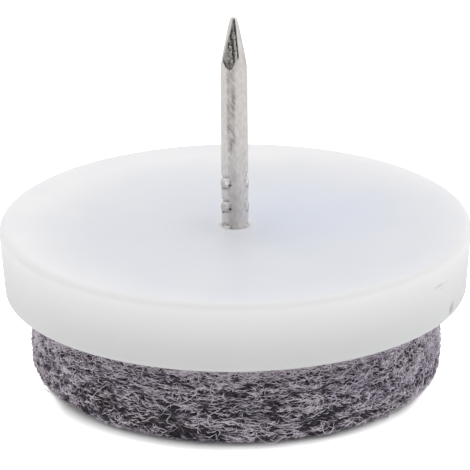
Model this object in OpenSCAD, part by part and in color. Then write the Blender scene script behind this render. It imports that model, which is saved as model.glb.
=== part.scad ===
// Nail-on furniture glide: a moulded disc on a felt pad, with a wire nail up through its middle.
// Millimetres, +Z up. The origin is the middle of the felt's underside, on the nail's axis.
// The glide is shown as it stands on a bench: felt down, point up. On a chair leg it hangs the other way up.

/* [Moulded base] */
// Diameter across the top, where the leg sits
base_d = 28; // [22:0.5:60]
// Height of the outer wall
base_h = 4.1; // [3:0.1:10]
// Lean of the outer wall that lets the disc leave its mould, in degrees
draft_angle = 3.5; // [0:0.5:10]
// Rounding of the top edge
top_edge_r = 0.45; // [0.1:0.05:1]
// Rounding of the lower edge
foot_edge_r = 0.15; // [0.05:0.05:0.6]
// Width of the flat ring round the top, which bears on the leg
land_w = 1; // [0.4:0.1:3]
// Sink of the top face at its middle
dish_depth = 0.5; // [0.1:0.05:1]
// Depth of the seat for the felt in the underside
seat_depth = 1; // [0.4:0.1:1.4]

/* [Felt pad] */
// Thickness of the felt
felt_t = 6.35; // [3:0.05:12]
// How far the base stands out past the felt at the underside
felt_step = 1.5; // [0.8:0.1:4]
// Room round the felt in its seat
felt_gap = 0.1; // [0.05:0.05:0.4]
// Rounding of the felt's worn lower edge
felt_edge_r = 0.8; // [0.2:0.1:2]

/* [Nail] */
// Diameter of the wire
shank_d = 1.6; // [1.2:0.1:3]
// Length from the flat of the head to the point
nail_l = 15.3; // [12:0.1:40]
// Diameter of the head
head_d = 4.2; // [3:0.1:8]
// Thickness of the head
head_t = 0.7; // [0.4:0.1:1.2]
// Rounding of the head's rim
head_edge_r = 0.15; // [0.05:0.05:0.2]
// Room round the head in its counterbore
head_gap = 0.05; // [0.05:0.05:0.3]
// Length of the four faces cut at the point
point_l = 2.9; // [1.5:0.1:5]
// Width left across the blunt tip
tip_w = 0.24; // [0.1:0.02:0.5]
// Turn of the point's faces about the nail, in degrees
point_turn = -25; // [-45:5:45]

/* [Grip marks] */
// How much narrower the neck is than the wire, squeezed by the dies while the head was struck
neck_squeeze = 0.02; // [0.02:0.01:0.2]
// How many marks the dies left on each side
grip_rows = 3; // [1:1:6]
// Spacing of the marks
grip_pitch = 1.48; // [0.8:0.02:3]
// Middle of the lowest ridge above the head
grip_start = 1.6; // [0.8:0.05:4]
// Height of the ridge that a die's tooth threw up
grip_h = 0.52; // [0.3:0.02:1.2]
// How far a ridge stands out of the neck
grip_rise = 0.05; // [0.02:0.01:0.12]
// Height of the groove that the tooth left above its ridge
groove_h = 0.3; // [0.2:0.02:0.6]
// Depth of the groove
groove_depth = 0.06; // [0.02:0.01:0.12]
// How far a mark reaches round the neck, in degrees
grip_arc = 115; // [80:5:160]
// Turn of the marks about the nail, in degrees
grip_turn = -75; // [-90:5:90]
// Plain neck left above the top mark
grip_lead = 0.15; // [0.05:0.05:1]

/* [Hidden] */

// Circles with this many sides; the solids themselves are true rounds
$fn = 96;
// Points along a rounded edge and along the dish, and steps over a ridge
edge_steps = 6;
dish_steps = 24;
ridge_steps = 7;
// A ridge falls this many times its rise towards its ends, so that they end inside the wire
end_sink = 1.2;
// A groove's cutter is this many times as deep as the groove, to clear the ridges
cutter_reach = 3;
// Overshoot that keeps a cut clear of the face that it leaves by
over = 1;

// Levels of the stack, from the floor up
seat_z = felt_t;
foot_z = felt_t - seat_depth;
rim_z = foot_z + base_h;
dish_z = rim_z - dish_depth;
head_z = seat_z + head_t;
tip_z = seat_z + nail_l;

// Radii of the base, from the outside in; the wall is widest where its top edge begins to round over
base_r = base_d / 2;
foot_r = base_r - top_edge_r + top_edge_r / cos(draft_angle) - (base_h - top_edge_r) * tan(draft_angle);
felt_r = foot_r - felt_step;
seat_r = felt_r + felt_gap;
land_in_r = base_r - top_edge_r - land_w;

// The nail's own radii and the top of its gripped neck
shank_r = shank_d / 2;
neck_r = (shank_d - neck_squeeze) / 2;
neck_top_z = head_z + grip_start + (grip_rows - 1) * grip_pitch + grip_h / 2 + groove_h + grip_lead;
point_angle = atan((shank_r - tip_w / 2) / point_l);

// Points of an arc about a centre, from one angle to another
function arc(centre, r, from, to, steps) = [
    for (i = [0:steps])
        let (a = from + (to - from) * i / steps)
        centre + r * [cos(a), sin(a)]
];

// The dish is a shallow bowl: a circle's arc that falls dish_depth over land_in_r
dish_r = (land_in_r * land_in_r + dish_depth * dish_depth) / (2 * dish_depth);
dish_half_angle = asin(land_in_r / dish_r);
dish_line = arc([0, dish_z + dish_r], dish_r, dish_half_angle - 90, -90, dish_steps);

// Centres of the two rounded edges, each its own radius inside the leaning wall
foot_edge_in = foot_edge_r * (1 - sin(draft_angle)) / cos(draft_angle);
top_edge_c = [base_r - top_edge_r, rim_z - top_edge_r];
foot_edge_c = [foot_r - foot_edge_in, foot_z + foot_edge_r];

// Half section of the disc before the nail's hole is made
module base_section() {
    polygon(concat(
        [[0, seat_z], [seat_r, seat_z], [seat_r, foot_z]],
        arc(foot_edge_c, foot_edge_r, -90, -draft_angle, edge_steps),
        arc(top_edge_c, top_edge_r, -draft_angle, 90, edge_steps),
        dish_line
    ));
}

// The disc closes tightly round the nail's neck and marks, and leaves room round the head
module glide_body() {
    color([0.9, 0.92, 0.95])
    difference() {
        rotate_extrude() base_section();
        nail_form();
        translate([0, 0, seat_z - over])
            cylinder(r = head_d / 2 + head_gap, h = head_t + over);
    }
}

// Half section of the head, with its rim rounded above and below
module head_section() {
    rim_x = head_d / 2 - head_edge_r;
    polygon(concat(
        [[0, seat_z]],
        arc([rim_x, seat_z + head_edge_r], head_edge_r, -90, 0, edge_steps),
        arc([rim_x, head_z - head_edge_r], head_edge_r, 0, 90, edge_steps),
        [[0, head_z]]
    ));
}

// Half section of the neck: it widens evenly from the squeezed end at the head to the full wire
module neck_section() {
    polygon([
        [0, seat_z + head_t / 2],
        [neck_r, seat_z + head_t / 2],
        [shank_r, neck_top_z],
        [0, neck_top_z]
    ]);
}

// Radius of the neck at a height
function neck_r_at(z) =
    neck_r + (shank_r - neck_r) * (z - seat_z - head_t / 2) / (neck_top_z - seat_z - head_t / 2);

// Middle of a row's ridges
function ridge_z(row) = head_z + grip_start + row * grip_pitch;

// A ridge swells out of one side of the neck and a groove sinks into it, and both die away round the nail
// This is how far off the nail's axis a round form stands to end half of grip_arc from the mark's middle
function off_axis(depth) = depth / (1 - cos(grip_arc / 2));

// One pair of ridges, on opposite sides of the neck: low barrels with ends that sink into the wire
module ridge_pair(z) {
    crest_r = neck_r_at(z) + grip_rise - off_axis(grip_rise);
    for (side = [0, 180])
        rotate([0, 0, grip_turn - 90 + side])
        translate([off_axis(grip_rise), 0, z])
        rotate_extrude()
            polygon(concat(
                [[0, -grip_h / 2]],
                [for (i = [-ridge_steps:2:ridge_steps])
                    let (t = i / ridge_steps)
                    [crest_r - end_sink * grip_rise * t * t, grip_h / 2 * t]],
                [[0, grip_h / 2]]
            ));
}

// The pair of grooves above them, as the rings that are cut away
module groove_pair(z) {
    root_r = neck_r_at(z) - groove_depth + off_axis(groove_depth);
    rim_r = root_r + cutter_reach * groove_depth;
    rim_h = cutter_reach * groove_h;
    for (side = [0, 180])
        rotate([0, 0, grip_turn - 90 + side])
        translate([-off_axis(groove_depth), 0, z])
        rotate_extrude()
            polygon([[root_r, 0], [rim_r, -rim_h / 2], [rim_r, rim_h / 2]]);
}

// One of the four faces at the point, as the block that is cut away outside it
module point_cut(turn) {
    rotate([0, 0, turn])
    translate([tip_w / 2, 0, tip_z])
    rotate([0, -point_angle, 0])
    translate([0, -shank_d, -point_l - over])
        cube([shank_d, 2 * shank_d, point_l + 2 * over]);
}

module nail_form() {
    difference() {
        union() {
            rotate_extrude() head_section();
            rotate_extrude() neck_section();
            translate([0, 0, neck_top_z]) cylinder(r = shank_r, h = tip_z - neck_top_z);
            for (row = [0:grip_rows - 1]) ridge_pair(ridge_z(row));
        }
        for (row = [0:grip_rows - 1]) groove_pair(ridge_z(row) + (grip_h + groove_h) / 2);
        for (face = [0:3]) point_cut(point_turn - 90 + 90 * face);
    }
}

module nail() {
    color([0.72, 0.71, 0.7]) nail_form();
}

// Half section of the felt: a punched disc whose lower edge is worn round
module felt_section() {
    polygon(concat(
        [[0, 0]],
        arc([felt_r - felt_edge_r, felt_edge_r], felt_edge_r, -90, 0, edge_steps),
        [[felt_r, felt_t], [0, felt_t]]
    ));
}

module felt_pad() {
    color([0.42, 0.4, 0.44])
    rotate_extrude() felt_section();
}

glide_body();
nail();
felt_pad();
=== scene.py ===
# Nail-on furniture glide: a white moulded base on a thick grey felt pad, with a plated wire nail through it
import math

import bpy
import numpy as np
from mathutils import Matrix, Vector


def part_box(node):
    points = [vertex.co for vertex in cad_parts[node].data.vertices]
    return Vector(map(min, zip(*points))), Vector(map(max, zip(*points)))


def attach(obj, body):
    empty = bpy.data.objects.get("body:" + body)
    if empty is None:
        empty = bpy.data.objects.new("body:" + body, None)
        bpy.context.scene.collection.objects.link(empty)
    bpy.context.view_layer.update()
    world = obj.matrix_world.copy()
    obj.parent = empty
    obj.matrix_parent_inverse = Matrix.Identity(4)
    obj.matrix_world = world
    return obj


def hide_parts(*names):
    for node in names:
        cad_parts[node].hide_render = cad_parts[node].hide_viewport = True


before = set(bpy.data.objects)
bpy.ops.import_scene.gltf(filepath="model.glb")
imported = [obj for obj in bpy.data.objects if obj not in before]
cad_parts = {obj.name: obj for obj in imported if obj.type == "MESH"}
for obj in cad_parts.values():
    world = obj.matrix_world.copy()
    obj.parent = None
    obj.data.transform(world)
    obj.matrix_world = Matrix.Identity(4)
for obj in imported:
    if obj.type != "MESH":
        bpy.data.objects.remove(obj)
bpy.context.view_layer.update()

mm = 0.001  # every size below is in millimetres, and each mesh is scaled once as it is made


def cadLow(node, axis):
    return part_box(node)[0][axis] / mm


def cadHigh(node, axis):
    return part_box(node)[1][axis] / mm


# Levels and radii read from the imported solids
level = {
    "felt": cadLow("felt_pad", 2),
    "feltTop": cadHigh("felt_pad", 2),
    "foot": cadLow("glide_body", 2),
    "rim": cadHigh("glide_body", 2),
    "tip": cadHigh("nail", 2),
}
radius = {
    "base": cadHigh("glide_body", 0),
    "felt": cadHigh("felt_pad", 0),
    "head": cadHigh("nail", 0),
}


def linearFromHex(code):
    # sRGB to linear: c / 12.92 below 0.04045, and ((c + 0.055) / 1.055) ^ 2.4 above
    parts = [int(code[i:i + 2], 16) / 255 for i in (1, 3, 5)]
    return tuple(c / 12.92 if c <= 0.04045 else ((c + 0.055) / 1.055) ** 2.4 for c in parts) + (1.0,)


def addNode(tree, kind, values=None, links=None, **settings):
    # One node with its settings, its sockets' values and the links that come into it
    node = tree.nodes.new(kind)
    for key, value in settings.items():
        setattr(node, key, value)
    for key, value in (values or {}).items():
        node.inputs[key].default_value = value
    for key, socket in (links or {}).items():
        tree.links.new(socket, node.inputs[key])
    return node


def setRamp(node, stops):
    # Colour stops of a ramp node, from a list of (place, hex code)
    ramp = node.color_ramp
    while len(ramp.elements) > 1:
        ramp.elements.remove(ramp.elements[-1])
    ramp.elements[0].position = stops[0][0]
    ramp.elements[0].color = linearFromHex(stops[0][1])
    for place, code in stops[1:]:
        ramp.elements.new(place).color = linearFromHex(code)
    return node


def newMaterial(name):
    material = bpy.data.materials.new(name)
    material.use_nodes = True
    tree = material.node_tree
    return material, tree, tree.nodes["Principled BSDF"]


def smoothStep(edgeLow, edgeHigh, x):
    # 3t^2 - 2t^3 between the two edges, 0 before them and 1 after
    t = np.clip((x - edgeLow) / (edgeHigh - edgeLow), 0, 1)
    return t * t * (3 - 2 * t)


def bell(x, width):
    # 1 at x = 0, falling as exp(-(x / width)^2)
    return np.exp(-(x / width) ** 2)


def latticeNoise(u, v, acrossCells, alongCells, seed):
    # Value noise from -1 to 1 on a random lattice that closes round u, for u and v from 0 to 1:
    # the four lattice values round a point, blended by 3t^2 - 2t^3 each way
    lattice = np.random.default_rng(seed).uniform(-1, 1, (alongCells + 2, acrossCells))
    across, along = (u % 1) * acrossCells, np.clip(v, 0, 1) * alongCells
    col, row = np.floor(across).astype(int), np.floor(along).astype(int)
    s, t = smoothStep(0, 1, across - col), smoothStep(0, 1, along - row)
    left, right = col % acrossCells, (col + 1) % acrossCells
    near = lattice[row, left] * (1 - s) + lattice[row, right] * s
    far = lattice[row + 1, left] * (1 - s) + lattice[row + 1, right] * s
    return near * (1 - t) + far * t


def roundedPath(corners, radii, spacing):
    # Corner points joined by straight stretches, each corner cut by an arc that is tangent to both sides:
    # it starts radius / tan(half the corner's angle) before the corner, and turns evenly about its centre
    path = []
    for i, (corner, r) in enumerate(zip(corners, radii)):
        corner = np.array(corner, float)
        if r == 0:
            path.append(corner[None])
            continue
        before = np.array(corners[i - 1], float) - corner
        after = np.array(corners[(i + 1) % len(corners)], float) - corner
        before, after = before / np.linalg.norm(before), after / np.linalg.norm(after)
        half = math.acos(np.clip(before @ after, -1, 1)) / 2
        middle = (before + after) / np.linalg.norm(before + after)
        centre = corner + middle * r / math.sin(half)
        start = corner + before * r / math.tan(half) - centre
        finish = corner + after * r / math.tan(half) - centre
        turn = math.pi - 2 * half
        steps = max(4, int(math.ceil(turn / math.radians(12))))
        t = np.linspace(0, 1, steps + 1)[:, None]
        path.append(centre + (start * np.sin((1 - t) * turn) + finish * np.sin(t * turn)) / math.sin(turn))
    out = []
    for i, piece in enumerate(path):
        out.append(piece)
        gap = path[(i + 1) % len(path)][0] - piece[-1]
        steps = int(np.linalg.norm(gap) / spacing)
        if steps > 1 and i < len(path) - 1:
            out.append(piece[-1] + gap * (np.arange(1, steps) / steps)[:, None])
    return np.concatenate(out)


def stackXyz(x, y, z):
    # Three arrays of coordinates as one array of points
    return np.stack(np.broadcast_arrays(x, y, z), -1)


def gridQuads(rows, cols, wrapRows=False):
    # Quads of a grid whose columns close on themselves, and whose rows may too
    i = np.arange(rows if wrapRows else rows - 1)[:, None]
    j = np.arange(cols)[None]
    below, beside = (i + 1) % rows, (j + 1) % cols
    quads = np.stack([i * cols + j, i * cols + beside, below * cols + beside, below * cols + j], -1)
    return quads.reshape(-1, 4)


def capTriangles(pole, ring, cols, flip):
    # A fan from a pole point to the ring that starts at index ring
    j = np.arange(cols)
    beside = ring + (j + 1) % cols
    fan = np.stack([np.full(cols, pole), beside, ring + j], -1)
    return fan[:, ::-1] if flip else fan


def makeMesh(name, points, quads, triangles=None, attributes=None):
    # Points in millimetres and faces as arrays, written into a mesh in metres
    faces = [quads] if triangles is None else [quads, triangles]
    corners = np.concatenate([f.ravel() for f in faces]).astype(np.int32)
    sizes = np.concatenate([np.full(len(f), f.shape[1]) for f in faces]).astype(np.int32)
    mesh = bpy.data.meshes.new(name)
    mesh.vertices.add(len(points))
    mesh.vertices.foreach_set("co", (points * mm).astype(np.float32).ravel())
    mesh.loops.add(len(corners))
    mesh.loops.foreach_set("vertex_index", corners)
    mesh.polygons.add(len(sizes))
    mesh.polygons.foreach_set("loop_start", np.concatenate([[0], np.cumsum(sizes)[:-1]]).astype(np.int32))
    mesh.polygons.foreach_set("loop_total", sizes)
    mesh.polygons.foreach_set("use_smooth", np.ones(len(sizes), bool))
    for key, values in (attributes or {}).items():
        layer = mesh.attributes.new(key, "FLOAT", "POINT")
        layer.data.foreach_set("value", values.astype(np.float32).ravel())
    mesh.update(calc_edges=True)
    mesh.validate()
    return mesh


def addPiece(mesh, material, node):
    piece = bpy.data.objects.new(mesh.name, mesh)
    bpy.context.collection.objects.link(piece)
    mesh.materials.append(material)
    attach(piece, "root")
    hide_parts(node)
    print("made", mesh.name, "with", len(mesh.polygons), "faces")
    return piece


# Camera

view = {
    "distance": 152.6,  # from the point it looks at
    "elevation": 20.515,  # degrees above level
    "aim": (-0.019, 0.0, 8.279),
    "roll": -0.503,  # degrees, the photograph leans a little
    "lens": 196.25,
    "sensor": 36.0,
}


def addCamera():
    camera = bpy.data.objects.new("camera", bpy.data.cameras.new("camera"))
    bpy.context.collection.objects.link(camera)
    camera.data.lens, camera.data.sensor_width = view["lens"], view["sensor"]
    camera.data.clip_start, camera.data.clip_end = 0.01, 5
    rise = math.radians(view["elevation"])
    aimX, aimY, aimZ = view["aim"]
    camera.location = (
        aimX * mm,
        (aimY - view["distance"] * math.cos(rise)) * mm,
        (aimZ + view["distance"] * math.sin(rise)) * mm,
    )
    camera.rotation_mode = "ZXY"  # roll about the line of sight first, then the tilt
    camera.rotation_euler = (math.pi / 2 - rise, 0, math.radians(view["roll"]))
    bpy.context.scene.camera = camera


addCamera()
print("camera placed")


# Base: low-density polyethylene, injection moulded. It looks milky and waxy, with soft broad highlights,
# and what lies under it shows through as a faint blue-grey, which is painted in as a cool shade

base = {
    "edgeTop": 0.45,  # rounding of the top edge
    "edgeFoot": 0.15,
    "draft": 3.5,  # degrees that the wall leans in towards the foot
    "land": 1.0,  # width of the flat ring round the top
    "dish": 0.5,  # sink of the middle
    "seatRoom": 0.1,  # round the felt
    "headRoom": 0.05,
    "softCorner": 0.06,  # rounding of the small inner corners
    "columns": 360,
    "spacing": 0.3,  # of the rows down the wall
    "nick": {"turn": 64.3, "height": 5.9, "width": 0.18, "tall": 0.24, "depth": 0.1},  # turned from the front
    # faint grey scuffs on the wall: degrees from the front, height, half length, half height and strength
    "scuffs": [(56.0, 8.0, 0.55, 0.09, 0.26), (57.5, 7.72, 0.3, 0.07, 0.12), (59.5, 7.95, 0.25, 0.08, 0.14)],
    "lip": {"strength": 0.7, "reach": 0.5},  # whiter where the nail was driven in, with painted light against the shade round its foot
    "plainEdge": {"inset": 0.12, "width": 0.34},  # painted shade on a band round the front of the rounded edge
    "footShade": {"front": 0.65, "lessAside": 0.22, "height": 3.7},  # painted shade low on the wall, less at the sides
}


def basePath():
    # Closed section: along the top, over the edge, down the leaning wall, in under the foot, up the seat
    # for the felt and the nail's counterbore, and back up the hole
    lean = math.tan(math.radians(base["draft"]))
    footRadius = radius["base"] - (level["rim"] - level["foot"] - base["edgeTop"]) * lean
    topRadius = radius["base"] + base["edgeTop"] * lean
    seatRadius = radius["felt"] + base["seatRoom"]
    headTop = level["feltTop"] + nail["headHeight"]
    boreRadius = radius["head"] + base["headRoom"]
    neck = nail["shank"] / 2 - nail["squeeze"] / 2 - 0.01
    small = base["softCorner"]
    corners = [
        (neck, level["rim"]), (topRadius, level["rim"]), (footRadius, level["foot"]),
        (seatRadius, level["foot"]), (seatRadius, level["feltTop"]), (boreRadius, level["feltTop"]),
        (boreRadius, headTop), (neck, headTop),
    ]
    radii = [small, base["edgeTop"], base["edgeFoot"], small, small, small, small, small]
    path = roundedPath(corners, radii, base["spacing"])
    # the hole's own wall closes the section
    wall = np.linspace(path[-1], path[0], 7)[1:-1]
    return np.concatenate([path, wall])


def fromFront(a):
    # Angle round the nail, in degrees from the front and positive to the right, from -180 to 180
    return (np.degrees(a) + 90 + 180) % 360 - 180


def makeBase(material):
    # Turned about the nail: x = r cos a, y = r sin a. The top sinks by dish * (1 - (r / dishRadius)^2).
    # A nick is a bell of the distance along the wall and up it
    path = basePath()
    r, z = path[:, 0][:, None], path[:, 1][:, None]
    a = np.linspace(0, 2 * math.pi, base["columns"], endpoint=False)[None]
    turn = fromFront(a)
    dishRadius = radius["base"] - base["edgeTop"] - base["land"]
    onTop = smoothStep(level["feltTop"] + nail["headHeight"], level["rim"] - 0.3, z)
    sink = base["dish"] * np.clip(1 - (r / dishRadius) ** 2, 0, 1) * onTop
    onWall = smoothStep(radius["felt"] + 0.6, radius["felt"] + 1, r)
    nick, lip, edge, shade = base["nick"], base["lip"], base["plainEdge"], base["footShade"]
    nickAlong = radius["base"] * np.radians(turn - nick["turn"])
    nickMark = bell(nickAlong, nick["width"]) * bell(z - nick["height"], nick["tall"]) * onWall
    r = r - nick["depth"] * nickMark
    points = stackXyz(r * np.cos(a), r * np.sin(a), z - sink).reshape(-1, 3)
    quads = gridQuads(len(path), base["columns"], wrapRows=True)[:, ::-1]
    highUp = smoothStep(level["rim"] - 0.5, level["rim"] - 0.15, z)
    lowDown = 1 - smoothStep(level["foot"] + 0.1, level["foot"] + shade["height"], z)
    facing = smoothStep(-0.3, 0.6, -np.sin(a))
    aside = smoothStep(28, 72, np.abs(turn))
    # rim is painted shade on the front of the edge, foot is painted shade low on the wall, lip is partly
    # painted light
    marks = {
        "dirtAndShade": np.clip(nickMark, 0, 1),
        "wall": smoothStep(radius["base"] - base["edgeTop"], radius["base"] - 0.05, r) + 0 * a,
        "lip": lip["strength"] * bell(r - nail["shank"] / 2, lip["reach"]) * onTop + 0 * a,
        "rim": bell(r - radius["base"] + edge["inset"], edge["width"]) * highUp * facing,
        "foot": lowDown * onWall * (shade["front"] - shade["lessAside"] * aside),
    }
    mesh = makeMesh("mouldedBase", points, quads, None, marks)
    return addPiece(mesh, material, "glide_body")


def whitePolyethylene():
    # Moulded low-density polyethylene: the milky body scatters light about a millimetre deep and the skin is
    # satin. The felt under the thin middle is painted in as a cool shade, darkest towards the front and
    # bluest to the right of the nail
    material, tree, shader = newMaterial("whitePolyethylene")
    place = addNode(tree, "ShaderNodeTexCoord").outputs["Object"]
    # painted shade: darkest a little right of and in front of the nail, lightest round the rim
    centred = addNode(tree, "ShaderNodeMapping", {"Location": (-1.2 * mm, 2.2 * mm, 0), "Scale": (1, 1, 0)},
                      {"Vector": place})
    reach = addNode(tree, "ShaderNodeVectorMath", None, {0: centred.outputs[0]}, operation="LENGTH")
    across = addNode(tree, "ShaderNodeMapRange", {"From Max": radius["base"] * mm},
                     {"Value": reach.outputs["Value"]})
    paintedFeltShade = addNode(tree, "ShaderNodeValToRGB", None, {"Fac": across.outputs[0]})
    setRamp(paintedFeltShade, [(0.0, "#d5d7db"), (0.2, "#dcdee4"), (0.7, "#e1e2e7"),
                       (0.86, "#e7e7ea"), (1.0, "#efeeef")])
    # painted shade: a bluer tint to the right of the nail, a little behind it
    fromBlue = addNode(tree, "ShaderNodeVectorMath", {1: (4.2 * mm, 1.5 * mm, level["rim"] * mm)}, {0: place},
                       operation="DISTANCE")
    paintedBlueShade = addNode(tree, "ShaderNodeMapRange", {"From Max": 8.5 * mm, "To Min": 0.3, "To Max": 0.0},
                       {"Value": fromBlue.outputs["Value"]}, interpolation_type="SMOOTHSTEP")
    blue = addNode(tree, "ShaderNodeMix", {"B": linearFromHex("#cdd7ef")},
                   {"Factor": paintedBlueShade.outputs[0], "A": paintedFeltShade.outputs["Color"]}, data_type="RGBA")
    # slow clouds, some 4 mm across, where the melt cooled unevenly
    clouds = addNode(tree, "ShaderNodeTexNoise", {"Scale": 250.0, "Detail": 2.0}, {"Vector": place})
    cloudy = addNode(tree, "ShaderNodeMapRange", {"From Min": 0.35, "From Max": 0.65, "To Max": 0.1},
                     {"Value": clouds.outputs["Fac"]})
    tinted = addNode(tree, "ShaderNodeMix", {"B": linearFromHex("#c3ccdc")},
                     {"Factor": cloudy.outputs[0], "A": blue.outputs[2]}, data_type="RGBA")
    # tints laid over one another, each as strong as the attribute of its name
    tints = {
        "lip": "#f4f4f7",  # stressed by the nail and a little whiter, with painted light against the shade round its foot
        "wall": "#ececec",  # solid, so without the cool tint
        "rim": "#dededf",  # painted shade, so that the front of the edge looks no brighter than the top
        "foot": "#c9cac9",  # painted shade low on the wall, most at the front, where the felt's rim is behind it
    }
    for name, code in tints.items():
        share = addNode(tree, "ShaderNodeAttribute", attribute_name=name).outputs["Fac"]
        tinted = addNode(tree, "ShaderNodeMix", {"B": linearFromHex(code)},
                         {"Factor": share, "A": tinted.outputs[2]}, data_type="RGBA")
    dirtAndShade = addNode(tree, "ShaderNodeAttribute", attribute_name="dirtAndShade").outputs["Fac"]
    for turn, height, along, tall, strength in base["scuffs"]:
        # an ellipsoid at the wall, turned to face outward
        a = math.radians(turn - 90)
        spot = (radius["base"] * math.cos(a) * mm, radius["base"] * math.sin(a) * mm, height * mm)
        local = addNode(tree, "ShaderNodeMapping",
                        {"Location": spot, "Rotation": (0, 0, a), "Scale": (1 * mm, along * mm, tall * mm)},
                        {"Vector": place}, vector_type="TEXTURE")
        off = addNode(tree, "ShaderNodeVectorMath", None, {0: local.outputs[0]}, operation="LENGTH")
        scuffed = addNode(tree, "ShaderNodeMapRange", {"From Max": 1.5, "To Min": strength, "To Max": 0.0},
                          {"Value": off.outputs["Value"]}, interpolation_type="SMOOTHSTEP")
        dirtAndShade = addNode(tree, "ShaderNodeMath", None, {0: dirtAndShade, 1: scuffed.outputs[0]},
                       operation="MAXIMUM").outputs[0]
    # darker at the nick and grey on the scuffs
    marked = addNode(tree, "ShaderNodeMix", {"B": linearFromHex("#6e6a68")},
                     {"Factor": dirtAndShade, "A": tinted.outputs[2]}, data_type="RGBA")
    tree.links.new(marked.outputs[2], shader.inputs["Base Color"])
    # spark-eroded mould skin, about 0.15 mm a pit, and a slow sink-mark wave
    pits = addNode(tree, "ShaderNodeTexNoise", {"Scale": 6500.0, "Detail": 2.0, "Roughness": 0.6},
                   {"Vector": place})
    waves = addNode(tree, "ShaderNodeTexNoise", {"Scale": 420.0, "Detail": 1.0}, {"Vector": place})
    wavy = addNode(tree, "ShaderNodeBump", {"Strength": 0.25, "Distance": 0.05 * mm},
                   {"Height": waves.outputs["Fac"]})
    pitted = addNode(tree, "ShaderNodeBump", {"Strength": 0.12, "Distance": 0.02 * mm},
                     {"Height": pits.outputs["Fac"], "Normal": wavy.outputs["Normal"]})
    tree.links.new(pitted.outputs["Normal"], shader.inputs["Normal"])
    gloss = addNode(tree, "ShaderNodeMapRange",
                    {"From Min": 0.3, "From Max": 0.7, "To Min": 0.38, "To Max": 0.5},
                    {"Value": waves.outputs["Fac"]})
    tree.links.new(gloss.outputs[0], shader.inputs["Roughness"])
    shader.inputs["IOR"].default_value = 1.51
    shader.inputs["Subsurface Weight"].default_value = 0.7
    shader.inputs["Subsurface Radius"].default_value = (1.0, 1.0, 1.0)
    shader.inputs["Subsurface Scale"].default_value = 0.9 * mm
    return material


# Nail: drawn steel wire, zinc-plated. It is a soft satin grey, torn and dark where it was cut to a point

nail = {
    "shank": 1.6,
    "squeeze": 0.02,  # how much narrower the neck is
    "headHeight": 0.7,
    "headEdge": 0.15,
    "pointLength": 3.1,
    "tipWidth": 0.33,
    "tipRound": 0.045,  # how much it widens at once below the blunt tip
    "pointSlope": 0.199,  # how fast half the point's width grows towards the wire
    "cornerPower": 2.4,  # 2 is a round section and a high number a square one
    "pointTurn": -15.0,  # degrees of the first face from the front
    "tornSpan": 36.0,  # degrees from the middle of a torn face to its edge
    "gripRows": 3,
    "gripPitch": 1.48,
    "gripStart": 1.6,  # middle of the lowest ridge above the head
    "gripHeight": 0.52,
    "gripRise": 0.04,
    "gripWear": (1.5, 1.3, 0.35),  # how rough each row is, from the head up
    "gripGlint": (0.0, 0.35, 1.0),  # how strong each row's painted highlight on its rubbed crest is
    "grooveHeight": 0.38,  # of the groove above each ridge
    "grooveDepth": 0.085,
    "gripLean": 0.16,  # how much higher a mark's front end is than its middle
    "gripReach": 57.5,  # degrees to each side of a mark's middle
    "gripTurn": -75.0,
    "gripLead": 0.15,
    "shoulderPower": 14,  # how sharply the point meets the wire
    "columns": 256,
    # the rubbed streak below the point: its middle and half width in degrees, both ends in mm from the tip
    "scuff": {"turn": -15.0, "half": (12, 23), "starts": (2.6, 3.1), "fades": (7.3, 8.3)},
}


def nailHeights():
    # Rows of the nail's grid: the head's own section first, then finer steps at the marks and the point
    headLow = level["feltTop"]
    headHigh = headLow + nail["headHeight"]
    neck = nail["shank"] / 2 - nail["squeeze"] / 2
    head = roundedPath(
        [(0.02, headLow), (radius["head"], headLow), (radius["head"], headHigh), (neck, headHigh)],
        [0, nail["headEdge"], nail["headEdge"], 0.08], 0.3,
    )
    topRidge = headHigh + nail["gripStart"] + (nail["gripRows"] - 1) * nail["gripPitch"]
    neckTop = topRidge + nail["gripHeight"] / 2 + nail["grooveHeight"] + nail["gripLead"]
    pointLow = level["tip"] - nail["pointLength"]
    return head, headHigh, neckTop, np.concatenate([
        np.arange(headHigh + 0.12, level["rim"] - 0.9, 0.12),
        np.arange(level["rim"] - 0.9, neckTop, 0.03),
        np.arange(neckTop, pointLow - 0.3, 0.07),
        np.linspace(pointLow - 0.3, level["tip"], 105),
    ])


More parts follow.
